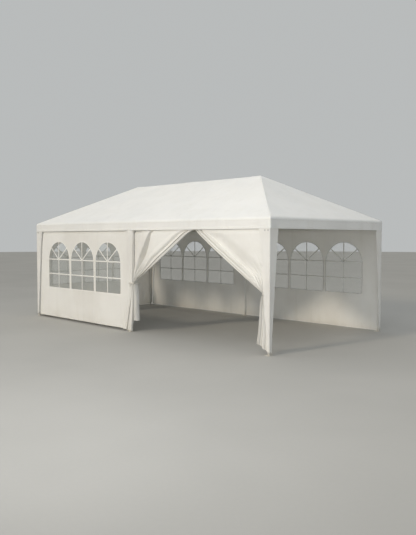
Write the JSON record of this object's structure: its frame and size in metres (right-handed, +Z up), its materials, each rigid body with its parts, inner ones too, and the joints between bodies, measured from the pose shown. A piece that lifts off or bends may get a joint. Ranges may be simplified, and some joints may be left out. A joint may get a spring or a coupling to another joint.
{
  "type": "marquee tent",
  "caption": "Marquee tent: hipped roof sheet with a valance on a slip-together tube frame, arched-window walls, a tied-back door and an open end.",
  "frame": {"origin": "on the ground under the middle of the tent", "axes": "+X along the long side towards the open end, -Y out of the door side, +Z up"},
  "size_m": [6, 3, 2.6],
  "materials": {
    "frame_paint": "white powder coat, satin",
    "roof_sheet": "coated woven sheet, white, slightly glossy",
    "wall_sheet": "coated woven sheet, warm white",
    "window_film": "clear flexible film"
  },
  "bodies": {
    "root": {"leg_front_left": "frame_paint", "leg_front_middle": "frame_paint", "leg_front_right": "frame_paint", "leg_back_left": "frame_paint", "leg_back_middle": "frame_paint", "leg_back_right": "frame_paint", "eave_beam_front_left": "frame_paint", "eave_beam_front_right": "frame_paint", "eave_beam_back_left": "frame_paint", "eave_beam_back_right": "frame_paint", "eave_beam_left_end": "frame_paint", "eave_beam_right_end": "frame_paint", "hip_rafter_front_left": "frame_paint", "hip_rafter_front_right": "frame_paint", "hip_rafter_back_left": "frame_paint", "hip_rafter_back_right": "frame_paint", "rafter_front_middle": "frame_paint", "rafter_back_middle": "frame_paint", "ridge_beam_left": "frame_paint", "ridge_beam_right": "frame_paint", "connector_front_left": "frame_paint", "connector_front_middle": "frame_paint", "connector_front_right": "frame_paint", "connector_back_left": "frame_paint", "connector_back_middle": "frame_paint", "connector_back_right": "frame_paint", "connector_ridge_left": "frame_paint", "connector_ridge_middle": "frame_paint", "connector_ridge_right": "frame_paint", "roof_cover": "roof_sheet", "wall_front_left": "wall_sheet", "wall_back_left": "wall_sheet", "wall_back_right": "wall_sheet", "wall_left_end": "wall_sheet", "window_film_front_left": "window_film", "window_film_back_left": "window_film", "window_film_back_right": "window_film", "window_film_left_end": "window_film", "corner_wrap_front_left": "wall_sheet", "corner_wrap_front_right": "wall_sheet", "corner_wrap_back_left": "wall_sheet", "corner_wrap_back_right": "wall_sheet", "door_curtain_left": "wall_sheet", "door_curtain_right": "wall_sheet", "curtain_tie_left": "wall_sheet", "curtain_tie_right": "wall_sheet"}
  },
  "joints": []
}
